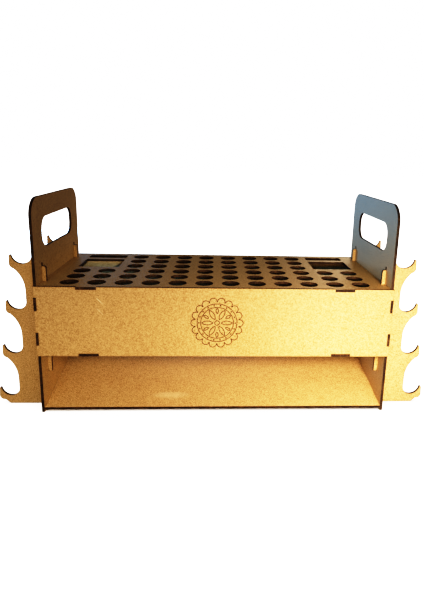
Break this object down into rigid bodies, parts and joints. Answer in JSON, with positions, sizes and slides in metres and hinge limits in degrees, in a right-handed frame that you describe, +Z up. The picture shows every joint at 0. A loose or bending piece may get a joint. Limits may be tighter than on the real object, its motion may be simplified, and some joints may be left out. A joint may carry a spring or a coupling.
{
  "type": "paint rack organizer",
  "caption": "Carry-handled desktop rack of slotted boards: a tray with a round-hole plate over a sloping shelf, with lift-out hook combs on both sides.",
  "frame": {"origin": "on the ground under the middle of the rack", "axes": "+X right along the rack, +Y from the engraved front to the back, +Z up"},
  "size_m": [0.5056, 0.17, 0.244],
  "materials": {
    "mdf_board": "matte"
  },
  "bodies": {
    "rack": {"side_panel_left": "mdf_board", "side_panel_right": "mdf_board", "front_panel": "mdf_board", "back_panel": "mdf_board", "top_plate": "mdf_board", "tray_bottom": "mdf_board", "lower_shelf": "mdf_board"},
    "hook_comb_front_left": {"hook_comb_front_left": "mdf_board"},
    "hook_comb_front_right": {"hook_comb_front_right": "mdf_board"},
    "hook_comb_back_left": {"hook_comb_back_left": "mdf_board"},
    "hook_comb_back_right": {"hook_comb_back_right": "mdf_board"}
  },
  "joints": [
    {"name": "comb_lift_front_left", "type": "slide", "parent": "rack", "child": "hook_comb_front_left", "axis": [0, 0, 1], "range_m": [0, 0.0033]},
    {"name": "comb_lift_front_right", "type": "slide", "parent": "rack", "child": "hook_comb_front_right", "axis": [0, 0, 1], "range_m": [0, 0.0033]},
    {"name": "comb_lift_back_left", "type": "slide", "parent": "rack", "child": "hook_comb_back_left", "axis": [0, 0, 1], "range_m": [0, 0.0033]},
    {"name": "comb_lift_back_right", "type": "slide", "parent": "rack", "child": "hook_comb_back_right", "axis": [0, 0, 1], "range_m": [0, 0.0033]}
  ]
}
